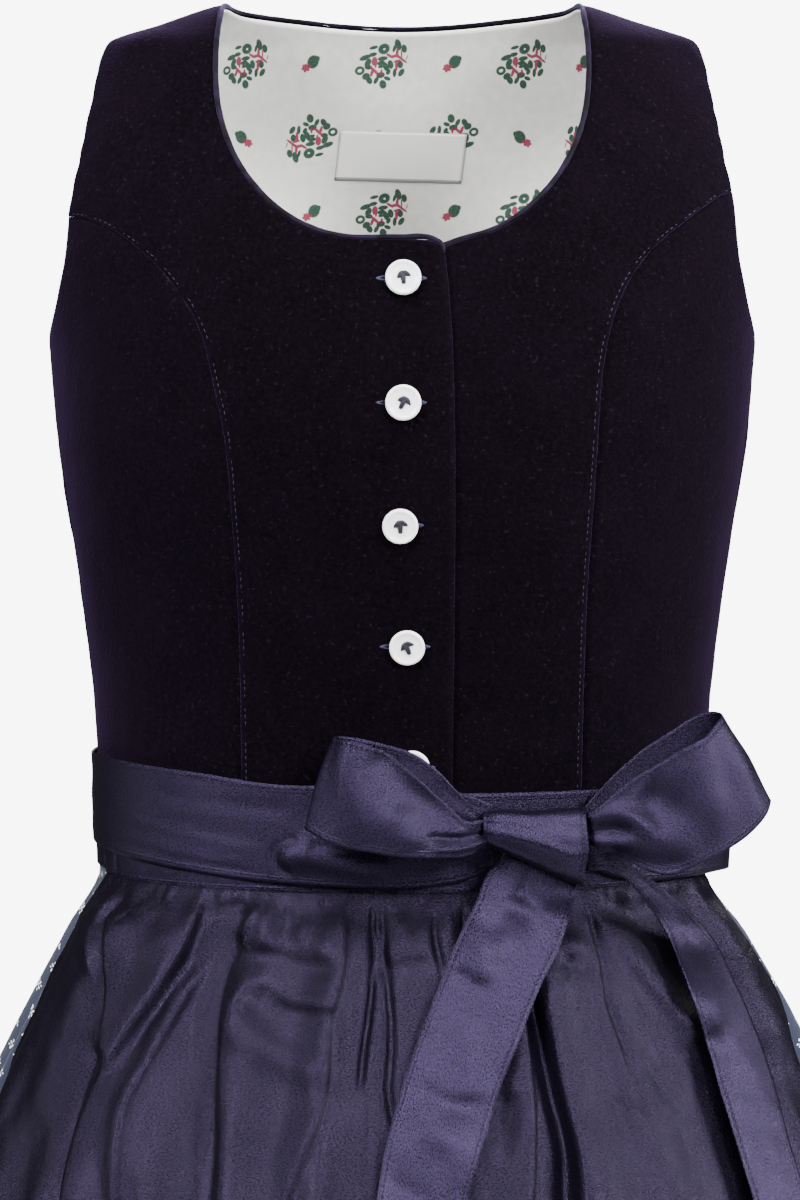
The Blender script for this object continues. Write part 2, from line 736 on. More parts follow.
def level_print(piece, grid):
    """Keeps the rows of the print level: across by length from the middle, down by height."""
    along, _ = lengths(grid)
    across = along - along[:, grid.shape[1] // 2][:, None]
    map_over(piece.data, "cut", np.stack([across, grid[..., 2]], -1))


leaf_print = lining_finish()
lining_grid = closed_shoulder(back + outwards(back) * -(velvet_wall + lining_gap))
lining = lay("back_lining_cloth", lining_grid)
level_print(lining, lining_grid)
thicken(lining, cotton_wall, leaf_print)
belongs(lining, "lining", "back_lining")


label_half, label_middle = (25, 10), (-0.5, -49.8)


def label_grid():
    """The label's points: it leans a little, and its sides slant."""
    across = np.linspace(-label_half[0], label_half[0], 41)
    x, up = np.meshgrid(across, np.linspace(label_half[1], -label_half[1], 17))
    x, z = x + label_middle[0] + 0.12 * up, label_middle[1] + up - 0.03 * x
    grid = face_places(np.column_stack([x.ravel(), z.ravel()]), 1, BACK).reshape(x.shape + (3,))
    lift = -(velvet_wall + lining_gap + 0.7) - 0.1 * unevenness(grid, 24, 5)
    return grid + outwards(grid) * lift[..., None]


def label_finish():
    material, tree = new_material("blank woven label")
    cut = cut_places(tree)
    down = part(tree, cut, 1) * (-1 / mm)
    middle = abs(down - (label_half[1] + 0.2))
    edge = middle.fade(9.85, 10.05)
    ribs = (down * (2 * pi / 0.34)).sine() * 0.5 + 0.5
    specks = noise(tree, cut, 1800, 2)
    ground = blend_colours(tree, specks, (0.94, 0.93, 0.89, 1), (0.99, 0.985, 0.96, 1))
    colour = blend_colours(tree, edge * 0.6, ground, (0.05, 0.045, 0.05, 1))
    finish(tree, Base_Color=colour, Roughness=0.7, Normal=bump(tree, ribs, 0.00008, 0.4))
    return material


label = lay("neck_label_ribbon", label_grid())
thicken(label, label_wall, label_finish())
belongs(label, "label", "neck_label")

# ---- Rolled neck edge ----
# A narrow velvet binding rolled round a cord, sewn along the whole neckline; its pile catches
# a purple light.

piping_radius, piping_steps = 1.05, 420


def piping_line():
    def lifted(places, lift):
        return places + outwards(places) * np.reshape(lift, (-1, 1))

    low = face_places(neck_underlap, 1, FRONT)[::-1]
    left = face_places(neck_front[:-2], 1, FRONT)[::-1]
    under = np.vstack([low, left])
    sunk = -velvet_wall / 2 - (overlap_depth + 0.6) * (1 - ease(*overlap_ends, under[:, 0]))
    back_half = face_places(neck_back[1:], 1, BACK)
    other = face_places(neck_back[1:-1], -1, BACK)[::-1]
    right = face_places(neck_front, -1, FRONT)
    end = face_places([(11.5, -78.9), (14.2, -80.6), (15.6, -84.5)], 1, FRONT)
    over = np.vstack([back_half, other, right, end])
    return np.vstack([lifted(under, sunk), lifted(over, -velvet_wall / 2)])


def piping_grid():
    line = curve(piping_line())(np.linspace(0, 1, piping_steps))
    along = unit(np.gradient(line, axis=0))
    out = outwards(onto_form(line))
    across = unit(np.cross(along, out))
    up = np.cross(across, along)
    turns = np.linspace(0, 2 * pi, 15)
    slim = 1 - 0.4 * ease(0, 12, line[:, 1])
    radius = piping_radius * (slim * (1 + 0.08 * unevenness(line, 7, 8)))[:, None, None]
    step = np.arange(piping_steps)
    ends = np.minimum(step, step[::-1]) / 3
    radius = radius * np.sqrt(np.clip(ends, 0.05, 1))[:, None, None]
    circle = across[:, None] * np.cos(turns)[None, :, None] + up[:, None] * np.sin(turns)[None, :, None]
    return line[:, None] + circle * radius


def close_tube(piece):
    """Joins a rolled sheet's first and last columns and caps its two ends."""
    tube = bmesh.new()
    tube.from_mesh(piece.data)
    bmesh.ops.remove_doubles(tube, verts=tube.verts, dist=1e-6)
    bmesh.ops.holes_fill(tube, edges=[edge for edge in tube.edges if edge.is_boundary], sides=0)
    bmesh.ops.recalc_face_normals(tube, faces=tube.faces)
    tube.to_mesh(piece.data)
    tube.free()
    piece.data.shade_smooth()


def binding_finish():
    material, tree = new_material("rolled velvet binding")
    places = object_places(tree)
    pile = noise(tree, places, 1500, 2)
    patches = noise(tree, places, 160, 3).fade(0.35, 0.7)
    colour = blend_colours(tree, patches, (0.0014, 0.0008, 0.0018, 1), (0.009, 0.0045, 0.016, 1))
    finish(tree, Base_Color=colour, Roughness=0.7, Specular_IOR_Level=0.08, Sheen_Weight=0.22,
           Sheen_Roughness=0.35, Sheen_Tint=(0.5, 0.38, 0.85, 1),
           Normal=bump(tree, pile, 0.0004, 0.6))
    return material


piping = lay("neck_piping_roll", piping_grid(), side=1)
close_tube(piping)
piping.data.materials.append(binding_finish())
belongs(piping, "trim", "neck_piping")

# ---- Buttons and buttonholes ----
# Five turned white buttons with a rounded rim and a shallow dish, sewn on with navy thread in a
# crow's foot; each sits on a worked horizontal buttonhole.

button_count, button_top, button_pitch = 5, -93.4, 45.2
button_offsets = (0.4, 0.4, -0.7, 1.8, 3.7)
thread_turns = (4, -28, 2, 22, 35)
# Half the section of a button: distance from its axis and height.
button_section = [(0, 2.2), (3.4, 2.2), (4.6, 2.35), (5.2, 2.65), (5.6, 2.9), (6.05, 2.9),
                  (6.45, 2.55), (6.65, 1.9), (6.55, 1.2), (6.0, 0.55), (5.0, 0.35), (0, 0.35)]


def button_frame(index):
    """Where a button lies, and which way it faces."""
    place = face_places([(button_offsets[index], button_top - button_pitch * index)], 1, FRONT)
    turn = Vector(outwards(place)[0]).to_track_quat("Z", "Y").to_matrix().to_4x4()
    return Matrix.Translation(Vector(place[0]) * mm) @ turn


def button_shape(index):
    def build(shape):
        rings = [shape.verts.new((radius * mm, 0, height * mm)) for radius, height in button_section]
        edges = [shape.edges.new(pair) for pair in zip(rings, rings[1:])]
        bmesh.ops.spin(shape, geom=rings + edges, axis=(0, 0, 1), cent=(0, 0, 0), steps=48,
                       angle=2 * pi, use_merge=True)
        bmesh.ops.remove_doubles(shape, verts=shape.verts, dist=1e-6)
        bmesh.ops.recalc_face_normals(shape, faces=shape.faces)
        bmesh.ops.transform(shape, matrix=button_frame(index), verts=shape.verts)
    return build


def button_finish():
    material, tree = new_material("white button")
    places = object_places(tree)
    cloud = noise(tree, places, 160, 3)
    colour = blend_colours(tree, cloud, (0.88, 0.88, 0.88, 1), (0.95, 0.95, 0.94, 1))
    finish(tree, Base_Color=colour, Roughness=0.22 + 0.1 * cloud, Coat_Weight=0.4,
           Coat_Roughness=0.12, Subsurface_Weight=0.1, Subsurface_Scale=0.002)
    return material


white_button = button_finish()
for index in range(button_count):
    piece = shape_of(f"button_{index + 1}_turned", button_shape(index), white_button)
    piece.modifiers.new("round", "SUBSURF").levels = 1
    piece.modifiers["round"].render_levels = 1
    belongs(piece, "button", f"button_{index + 1}")

# Crow's foot: strokes from one hole to three others, each start and end in millimetres.
crow_foot = [((0, 2.2), (0, -2.7)), ((-0.1, 2.4), (-1.9, -0.3)), ((0.1, 2.4), (2.4, 0.2))]
strand_height, strand_radius = 2.45, 0.58


def crow_feet(shape):
    for index, turn in enumerate(thread_turns):
        local = bmesh.new()
        turned = np.array([[cos(radians(turn)), -sin(radians(turn))],
                           [sin(radians(turn)), cos(radians(turn))]])
        for points in crow_foot:
            for strand in (-0.42, 0.0, 0.42):
                ends = [turned @ (np.array(point) + (strand, 0)) for point in points]
                stitch(local, *[np.append(end, strand_height) for end in ends], strand_radius)
        bmesh.ops.transform(local, matrix=button_frame(index), verts=local.verts)
        mesh = bpy.data.meshes.new("crow foot")
        local.to_mesh(mesh)
        shape.from_mesh(mesh)
        local.free()
        bpy.data.meshes.remove(mesh)


dark_thread = thread_finish("black thread", (0.008, 0.008, 0.014, 1))
feet = shape_of("button_thread", crow_feet, dark_thread)
belongs(feet, "button")


purl_count, slit_half, slit_middle = 64, (9.0, 1.1), -0.8


def buttonholes(shape):
    """Purl stitches set round each slit, a fan of them at both ends."""
    for index in range(button_count):
        frame_here = np.array(button_frame(index))
        for turn in 2 * pi * np.arange(purl_count) / purl_count:
            way = np.array([cos(turn), sin(turn), 0]) * (*slit_half, 0)
            start = np.array([slit_middle, 0, 0.1]) - way * (0.88, 0.45, 1)
            end = np.array([slit_middle, 0, -0.12]) - way * (1.05, 1.25, 1)
            ends = [(frame_here @ np.append(point * mm, 1))[:3] / mm for point in (start, end)]
            stitch(shape, *ends, thread_radius)


hole_thread = thread_finish("slate thread", (0.016, 0.015, 0.038, 1))
holes = shape_of("buttonhole_stitching", buttonholes, hole_thread)
belongs(holes, "velvet")

# ---- Printed skirt ----
# Four quarters of navy cotton with small white sprigs, gathered into the waist seam and
# hanging in round folds to the hem.

skirt_hem = -757
band_bottom = -322
skirt = table(("half", "front", "back", "square"), [
    (waist_seam, 116, 80, 71, 2.2),
    (band_bottom, 116, 80, 71, 2.2),
    (-346, 126.6, 92, 82, 2.15),
    (-382, 144.5, 109, 99, 2.1),
    (-440, 171, 134, 126, 2.1),
    (-520, 201, 164, 158, 2.05),
    (-600, 226, 189, 185, 2.05),
    (-680, 247, 210, 208, 2.0),
    (skirt_hem, 262, 226, 225, 2.0),
])
skirt_folds = table(("open", "covered"), [
    (waist_seam, 0, 0),
    (band_bottom, 0, 0),
    (-346, 3.2, 1.2),
    (-382, 5, 1.8),
    (-440, 7, 2.4),
    (-600, 10.5, 3.8),
    (skirt_hem, 13, 5),
])
apron_edge = (radians(-163), radians(-13))
edge_shade = 0.12
folds_round, gathers_round = 26, 80


def powered(value, power):
    """The power of a value's size, with its sign kept."""
    return np.sign(value) * np.abs(value) ** power


def oval_place(section, angle, z):
    """Places round an oval section, and the level way out from it."""
    square = section["square"]
    depth = np.where(np.sin(angle) > 0, section["back"], section["front"])
    x = section["half"] * powered(np.cos(angle), 2 / square)
    y = depth * powered(np.sin(angle), 2 / square)
    out_x = powered(x, square - 1) / section["half"] ** square
    out_y = powered(y, square - 1) / depth ** square
    out = unit(np.stack([out_x, out_y, np.zeros_like(out_x)], -1))
    return np.stack([x, y, z + 0 * x], -1), out


def under_apron(angle):
    """1 where the apron covers the skirt, 0 where the skirt is open to view."""
    turn = np.arctan2(np.sin(angle), np.cos(angle))
    begun = ease(apron_edge[0] - edge_shade, apron_edge[0], turn)
    return begun * (1 - ease(apron_edge[1], apron_edge[1] + edge_shade, turn))


def skirt_place(angle, z):
    drift = 0.8 * np.sin(2 * angle + 0.5) + 0.5 * np.sin(5 * angle + 1.7)
    turn = folds_round * angle + drift
    uneven = 1 + 0.22 * np.sin(3 * angle + 1) + 0.16 * np.sin(7 * angle + 2)
    wave = uneven * (np.cos(turn) + 0.18 * np.cos(2 * turn))
    folds = skirt_folds(z)
    covered = under_apron(angle)
    depth = folds["open"] * (1 - covered) + folds["covered"] * covered
    gathers = ease(band_bottom, -331, z) * ease(-352, -331, z) * np.cos(gathers_round * angle)
    place, out = oval_place(skirt(z), angle, z)
    fine = 0.25 * unevenness(place, 30, 61) * (1 - covered) * ease(-330, -380, z)
    return place + out * (depth * wave + 0.5 * gathers + fine)[..., None]


# White sprigs of the print: place, turn, half length and half width, in millimetres.
sprig = [(0, 0, 20, 0.7, 0.5), (1.2, 0.9, 50, 0.8, 0.4), (-1.1, 0.8, 130, 0.8, 0.4),
         (0.2, 1.8, 90, 0.7, 0.35), (-1.3, -0.8, 30, 0.7, 0.4), (1.1, -0.9, 140, 0.7, 0.4),
         (0, -1.9, 90, 0.6, 0.3), (2.2, 0.1, 0, 0.5, 0.3)]
bud = [(0, 0.3, 70, 0.7, 0.4), (0.4, -0.7, 110, 0.6, 0.35), (-0.7, -0.4, 30, 0.5, 0.3)]
sprig_pitch, skirt_threads = (15.0, 8.5), 0.34


def print_finish():
    material, tree = new_material("sprigged navy cotton")
    cut = cut_places(tree)
    clusters, singles = repeat(tree, cut, sprig_pitch, (0, 0))
    white = strokes(tree, clusters, sprig).most(strokes(tree, singles, bud))
    threads = weave(tree, cut, skirt_threads)
    shade = noise(tree, cut, 180, 3)
    ground = blend_colours(tree, shade, (0.0075, 0.0105, 0.030, 1), (0.0125, 0.017, 0.044, 1))
    colour = blend_colours(tree, white * 0.92, ground, (0.80, 0.82, 0.86, 1))
    finish(tree, Base_Color=colour, Roughness=0.82, Specular_IOR_Level=0.3, Sheen_Weight=0.15,
           Normal=bump(tree, threads, 0.00015, 0.5))
    return material


sprigged = print_finish()
print_back = plain_cotton("back of the print", skirt_threads, 220, (0.02, 0.025, 0.055, 1),
                          (0.035, 0.042, 0.08, 1), 0.00015, 0.5)
skirt_heights = waist_seam - 0.3 + (skirt_hem - waist_seam + 0.3) * np.linspace(0, 1, 76) ** 1.25
for number, name in enumerate(("front_right", "front_left", "back_left", "back_right")):
    angles = radians(-180 + 90 * number) + radians(90) * np.linspace(0, 1, 241)
    angle, z = np.meshgrid(angles, skirt_heights)
    quarter = lay("skirt_" + name + "_cloth", skirt_place(angle, z))
    thicken(quarter, cotton_wall, sprigged, print_back)
    belongs(quarter, "print", "skirt_" + name)

# ---- Satin apron ----
# One width of navy satin, gathered by fine ruffles into the waistband and falling in uneven
# overlapping folds, with puffs where the gathers let go; narrow stitched hems at its sides.

apron_hem = -728
satin_wall, satin_sheet = 1.1, 0.5
apron_depth = table(("depth",), [
    (band_bottom, 0.3),
    (-336, 1.8),
    (-360, 4),
    (-410, 6),
    (-500, 8),
    (-620, 10),
    (apron_hem, 11.5),
])
# The folds at the hem: place at the band and at the hem, half-width, and depth against the usual.
apron_folds = [
    (0.04, 0.03, 0.022, 0.8), (0.11, 0.09, 0.026, 1.0), (0.17, 0.16, 0.02, 0.7),
    (0.23, 0.22, 0.028, 1.0), (0.3, 0.28, 0.024, 0.75), (0.36, 0.34, 0.03, 1.1),
    (0.42, 0.41, 0.022, 0.8), (0.47, 0.47, 0.026, 1.0), (0.53, 0.53, 0.022, 0.7),
    (0.58, 0.6, 0.028, 1.05), (0.64, 0.66, 0.022, 0.75), (0.7, 0.72, 0.028, 1.0),
    (0.76, 0.78, 0.022, 0.8), (0.82, 0.85, 0.028, 1.05), (0.89, 0.91, 0.022, 0.7),
    (0.95, 0.97, 0.024, 0.9),
]
# Folds laid by hand: height, half-width on the left and on the right of the fold's way, and its
# course over the front, by distance from the middle and height.
apron_creases = [
    # Right side: the edge panel's lip, a streak, and the long fold that overlaps it.
    (2.8, 9, 1.2, [(-100, -322), (-109, -331), (-112, -337), (-113, -344), (-115, -357)]),
    (-1.8, 5, 5, [(-119, -345), (-118, -357)]),
    (1.8, 2.2, 3.5, [(-90, -324), (-100, -334), (-106, -343)]),
    (4.4, 1.4, 13, [(-104, -330), (-107, -350), (-107, -360), (-109, -373), (-114, -386),
                    (-117, -397), (-120, -411), (-123, -435), (-127, -463), (-136, -560)]),
    (-3.8, 8, 2.5, [(-110, -378), (-116, -392), (-121, -408), (-126, -432), (-131, -463),
                    (-140, -550)]),
    # The lip and the crest that cross towards the side, and the deep valley behind them.
    (3.4, 10, 1.2, [(-74, -324), (-79, -338), (-89, -356), (-99, -370), (-110, -389)]),
    (-2.2, 2, 7, [(-74, -334), (-86, -355), (-95, -369), (-103, -386)]),
    (2.8, 4, 1.5, [(-50, -323), (-60, -336), (-69, -345), (-80, -356), (-85, -365), (-93, -380),
                   (-99, -395), (-102, -412), (-104, -430), (-107, -470)]),
    (-7.5, 11, 5, [(-61, -336), (-68, -353), (-72, -369), (-73, -386), (-73, -407), (-74, -431),
                   (-76, -461), (-80, -560)]),
    (3.0, 1.6, 14, [(-50, -322), (-56, -333), (-63, -345), (-66, -355), (-66, -372), (-67, -393),
                    (-67, -427), (-68, -457), (-70, -560)]),
    (-5, 4, 4, [(-59, -323), (-66, -340)]),
    # Puffs under the gathers, the crease below them and the curl of the broad bulge.
    (2.6, 4, 4, [(-52, -325), (-48, -342)]),
    (2.6, 5, 5, [(-39, -331), (-31, -336), (-23, -339)]),
    (1.6, 3, 3, [(-41, -323), (-37, -329)]),
    (-2.3, 3, 3.5, [(-60, -345), (-49, -343), (-37, -346), (-20, -346)]),
    (1.6, 2.6, 2.4, [(-63, -361), (-58, -354), (-50, -351), (-41, -356), (-20, -357)]),
    (-1.0, 2.6, 2.6, [(-56, -358), (-44, -362), (-22, -363)]),
    (3.2, 7, 5, [(-63, -360), (-54, -370), (-41, -377), (-20, -381)]),
    (3.2, 9, 1.2, [(-22, -321), (-21, -338), (-23, -352), (-26, -361), (-27, -377), (-30, -396),
                   (-38, -415), (-44, -431), (-51, -457), (-62, -520)]),
    # Two narrow creases down the middle, with a dark pocket, and the ruffles beside the tail.
    (-3.0, 1.3, 1.3, [(-11, -321), (-11, -350), (-12, -360), (-14, -373), (-16, -392)]),
    (-2.4, 1.3, 1.6, [(-8, -321), (-6, -346), (-4, -373), (-5, -390), (-1, -405)]),
    (-3.8, 2, 2, [(-8.5, -336), (-8, -352)]),
    (2.2, 4, 4, [(-2, -327), (4, -340)]),
    (-2.0, 2.2, 2.2, [(-6, -347), (12, -344)]),
    (-2.4, 1.5, 1.5, [(13, -321), (12, -335), (15, -348)]),
    (1.8, 1.5, 2, [(17, -321), (18, -335)]),
    (-2.0, 1.6, 1.6, [(23, -322), (22, -340)]),
    (2.2, 12, 12, [(-21, -390), (-22, -419), (-26, -450), (-30, -540)]),
    # Left of the tails: the overlapping folds, a thin crease and the lit ridge that runs out.
    (2.6, 8, 1.1, [(44, -360), (46, -378), (47, -392), (47, -409), (46, -429), (44, -456),
                   (40, -540)]),
    (-3.2, 5, 5, [(39, -388), (35, -412)]),
    (-4.8, 4, 2.2, [(48, -350), (51, -365), (54, -382), (56, -391), (60, -410), (61, -430),
                    (62, -457), (66, -550)]),
    (4.4, 1.2, 16, [(50, -345), (52, -361), (55, -375), (58, -391), (63, -410), (65, -430),
                    (67, -457), (72, -560)]),
    (-2.1, 1.3, 1.8, [(68, -323), (74, -346), (76, -360), (81, -374), (85, -390)]),
    (2.6, 3.0, 5, [(65, -322), (74, -333), (80, -339), (89, -351), (99, -363), (110, -375)]),
    (-3.0, 5, 9, [(84, -330), (99, -347), (109, -362)]),
    (2.0, 3.2, 3.2, [(59, -339), (68, -340)]),
    (-2.4, 3, 3, [(58, -347), (71, -347)]),
    (1.8, 5, 5, [(104, -364), (109, -375)]),
    (-1.1, 1.6, 1.6, [(77, -389), (90, -397)]),
    (3.6, 28, 22, [(84, -385), (95, -408), (99, -429), (103, -460), (110, -560)]),
    (-3.8, 2.4, 3.0, [(99, -320), (109, -332), (120, -348), (126, -362), (135, -381), (141, -399),
                      (148, -422), (153, -447), (164, -540)]),
    (2.2, 7, 7, [(111, -322), (126, -346), (135, -367), (146, -392)]),
    (-2.4, 4, 4, [(135, -381), (142, -402)]),
]


def creased(places, lines):
    """Height of folds laid by hand, seen from the front."""
    steps = 70
    flat = places[..., ::2]
    height = np.zeros(flat.shape[:-1])
    for rise, left, right, course in lines:
        path = curve(course)(np.linspace(0, 1, steps))
        reach = 3 * max(left, right)
        near = ((flat > path.min(0) - reach) & (flat < path.max(0) + reach)).all(-1)
        points = flat[near]
        gaps = points[:, None] - path
        nearest = (gaps**2).sum(-1).argmin(1)
        gap = gaps[np.arange(len(points)), nearest]
        way = unit(np.gradient(path, axis=0))[nearest]
        ahead = (gap * way).sum(-1)
        across = way[:, 0] * gap[:, 1] - way[:, 1] * gap[:, 0]
        beyond = np.where((nearest == 0) | (nearest == steps - 1), ahead, 0)
        width = np.where(across > 0, right, left)
        gone = np.concatenate([[0], np.cumsum(np.linalg.norm(np.diff(path, axis=0), axis=1))])
        tip = 1.3 * (left * right) ** 0.5
        start, end = gone[nearest] + tip * 0.3, gone[-1] - gone[nearest] + tip * 0.3
        taper = ease(0, min(tip, gone[-1] / 2), start)
        taper = taper * ease(0, max(min(2.5 * tip, gone[-1] / 2), gone[-1] * 0.2), end)
        profile = np.exp(-(across / width) ** 2 - (beyond / (0.5 * width + 0.5)) ** 2)
        height[near] += rise * taper * profile
    return height


def apron_stand(z):
    depth = apron_depth(z)["depth"]
    return 1.6 * skirt_folds(z)["covered"] + depth + satin_wall + 1.3, depth


def apron_place(share, z):
    drop = (band_bottom - z) / (band_bottom - apron_hem)
    stand, depth = apron_stand(z)
    height = 0
    for at_band, at_hem, width, strength in apron_folds:
        away = (share - (at_band + (at_hem - at_band) * drop)) / width
        height = height + strength * np.exp(-away * away)
    wave = (2 * np.minimum(height, 1.15) - 1) * (0.16 + 0.84 * ease(-430, -610, z))
    angle = apron_edge[0] + (apron_edge[1] - apron_edge[0]) * share
    place, out = oval_place(skirt(z), angle, z)
    edge = ease(0, 0.07, np.minimum(share, 1 - share))
    stand = stand - (stand - 2.2) * (1 - edge) * ease(-340, -420, z) * 0.85
    place = place + out * stand[..., None]
    below = band_bottom - z
    ruffle = unevenness(place * (1, 1, 0.12), 4.2, 301)
    puffs = unevenness(place * (1, 1, 0.7), 9, 304)
    gathers = 0.4 * ruffle * np.exp(-(below / 4.5) ** 2) + 0.75 * puffs * np.exp(-((below - 6) / 11) ** 2)
    billow = 1.8 * np.exp(-((below - 13) / 9) ** 2)
    soft = 1.7 * unevenness(place * (1, 1, 0.6), 46, 302) + 0.5 * unevenness(place * (1, 1, 0.8), 20, 305)
    laid = 1.2 * creased(place, apron_creases) + soft + 0.12 * unevenness(place, 8, 303)
    tucked = -2.6 * (1 - ease(-1.6, 0.6, below))
    height = depth * wave + gathers * ease(-1.5, 1, below) + billow * 0.6 + laid * ease(0.5, 9, below)
    lowest = skirt_folds(z)["covered"] + 1.3 - stand
    height = np.where(below > 1, np.maximum(height, lowest), height + tucked)
    return place + out * height[..., None]


def satin_finish(name, deep, bright, hem):
    """Satin: a soft gloss the colour of the thread, a fine grain, and a stitched hem that is
    so many millimetres wide."""
    material, tree = new_material(name)
    cut = cut_places(tree)
    hem_places = node(tree, "ShaderNodeUVMap", {"uv_map": "hem"})
    along, away = part(tree, hem_places, 0), part(tree, hem_places, 1) * (1 / mm)
    fold = 1 - away.fade(hem, hem + 0.5)
    seam = 1 - abs(away - (hem - 0.4)).fade(0.15, 0.45)
    dashes = (along * (2 * pi / (2.1 * mm))).sine().fade(-0.4, 0.2)
    slanted = node(tree, "ShaderNodeMapping", (), {
        "Vector": cut, "Rotation": (0, 0, radians(35)), "Scale": (1, 2.2, 1)})
    grain = noise(tree, slanted, 1100, 3).fade(0.38, 0.62)
    speck = noise(tree, slanted, 2400, 1).fade(0.4, 0.6)
    patches = noise(tree, cut, 70, 3, 0.4)
    colour = blend_colours(tree, grain * 0.45 + speck * 0.45 + 0.15 * patches, deep, bright)
    sunk = tuple(0.4 * share for share in deep[:3]) + (1,)
    colour = blend_colours(tree, seam * dashes * 0.6, colour, sunk)
    relief = grain * 0.22 + speck * 0.16 + fold * 0.6 - seam * dashes * 0.9
    finish(tree, Base_Color=colour, Metallic=0.78, Roughness=0.26 + 0.12 * grain - 0.03 * patches,
           Specular_IOR_Level=0.16, Normal=bump(tree, relief, 0.0004, 0.6))
    return material


satin = satin_finish("navy satin", (0.0010, 0.0007, 0.0022, 1), (0.0285, 0.0200, 0.0500, 1), 2.3)
apron_satin = satin_finish("apron satin", (0.0007, 0.0005, 0.0016, 1), (0.0205, 0.0146, 0.0345, 1), 6.5)
drops = np.concatenate([np.linspace(-2.4, 150, 72, endpoint=False), np.linspace(150, 406, 30)])
share, z = np.meshgrid(np.linspace(0, 1, 441), band_bottom - drops)
apron_grid = apron_place(share, z)
apron = lay("apron_panel_cloth", apron_grid, hems=("left", "right", "low"))
thicken(apron, satin_sheet, apron_satin)
belongs(apron, "satin", "apron_panel")

# ---- Waistband and ties ----
# A straight band of satin round the front, and two satin ties sewn to its ends that cross at
# the back and come round to the front, folded double and edge-stitched.

layer_gap, band_wall, band_crown, band_wrinkles = 0.3, 0.7, 0.4, 0.35
first_layer = layer_gap + band_wall
second_layer = first_layer + band_crown + layer_gap + band_wall
# Angle round the waist in degrees, heights of the upper and lower edge, stand off the bodice.
waistband_rows = [(-163, -284, band_bottom, first_layer), (-120, -284, band_bottom, first_layer),
                  (-60, -284, band_bottom, first_layer), (-13, -284, band_bottom, first_layer)]
tie_right_rows = [
    (-12, -281, -319, first_layer), (4, -279, -302, first_layer), (30, -278, -298.5, first_layer),
    (48, -278, -298, second_layer), (70, -278, -304, second_layer), (90, -278, -314, second_layer),
    (120, -277.5, -316, second_layer), (160, -277, -312, second_layer),
    (180, -277.2, -310, second_layer), (197, -275.6, -311, second_layer),
    (230, -277.5, -315, second_layer), (252, -281, -318, second_layer + 0.6),
    (268, -280.5, -319, second_layer + 1), (278, -283, -317, second_layer + 0.6),
    (284.6, -288, -312, second_layer),
]
tie_left_rows = [
    (196, -281, -319, first_layer), (150, -280, -319, first_layer), (110, -281, -320, first_layer),
    (90, -285, -321, first_layer), (66, -300.5, -322, first_layer), (34, -301, -322, first_layer),
    (20, -301, -321.5, second_layer + 1.5), (8, -290, -321, second_layer + 6),
    (-4, -283, -321, second_layer + 7), (-16, -279, -320.5, second_layer + 3.5),
    (-34, -277.6, -320.5, second_layer), (-48, -281, -318, second_layer),
    (-56.4, -288, -312, second_layer),
]
# Wrinkles of each: height, half-widths above and below their way, and course over the front.
band_creases = {
    "apron_waistband": [(-0.7, 0.6, 0.6, [(-107.5, -302), (-107, -321)]),
                        (-0.5, 1.2, 1.2, [(-60, -316), (-20, -318), (20, -316)])],
    "tie_right": [(3.6, 4.6, 5.5, [(-45, -309), (-37, -307), (-27, -308.5), (-14, -311), (2, -311)]),
                  (-1.2, 1.2, 1.4, [(-38, -300.6), (-43.5, -302.4), (-47, -306.5), (-45, -312), (-39, -315)]),
                  (-1.3, 1.2, 1.4, [(-33, -303.2), (-26, -303.8), (-14, -303.6)]),
                  (-0.5, 1.5, 1.5, [(-108, -306), (-80, -311), (-52, -314)]),
                  (0.4, 2.0, 2.0, [(-100, -297), (-70, -303), (-50, -306)]),
                  (-0.4, 3.0, 3.0, [(-90, -286), (-60, -289), (-38, -290)])],
    "tie_left": [(-0.7, 1.6, 1.6, [(40, -287), (60, -284), (84, -281)]),
                 (0.6, 3.0, 3.0, [(36, -294), (60, -291), (90, -290)]),
                 (-0.8, 1.5, 1.5, [(84, -312), (100, -310), (112, -306)])],
}


def band_grid(name, rows, columns, seed):
    at = table(("top", "low", "stand"), rows)
    angle = np.linspace(rows[0][0], rows[-1][0], columns)
    found = at(angle)
    lines = np.linspace(0, 1, 31)[:, None]
    z = found["top"] + (found["low"] - found["top"]) * lines
    crown = band_crown * np.sin(pi * lines)
    place, out = oval_place(bodice(np.maximum(z, waist_seam)), np.radians(angle) + 0 * z, z)
    drawn = unevenness(place * (0.35, 0.35, 2.4), 26, seed) * np.sin(pi * lines) ** 0.7
    laid = creased(place, band_creases[name]) * (place[..., 1] < 0)
    return place + out * (found["stand"] + crown + band_wrinkles * drawn + laid)[..., None]


for name, rows, columns, seed in (("apron_waistband", waistband_rows, 260, 71),
                                  ("tie_right", tie_right_rows, 520, 81),
                                  ("tie_left", tie_left_rows, 440, 91)):
    band = lay(name + "_ribbon", band_grid(name, rows, columns, seed), hems=("top", "low"))
    thicken(band, band_wall, satin)
    belongs(band, "satin", name)
    long = {"apron_waistband": 0.29, "tie_right": 0.52, "tie_left": 0.44}[name]
    long * 0.036 if name != "tie_left" else long * 0.032

# ---- Bow ----
# The two ties knotted in a bow on the wearer's left: two flat loops, the knot wrapped round
# them, and two tails that hang over the apron. Same satin, with stitched edges.


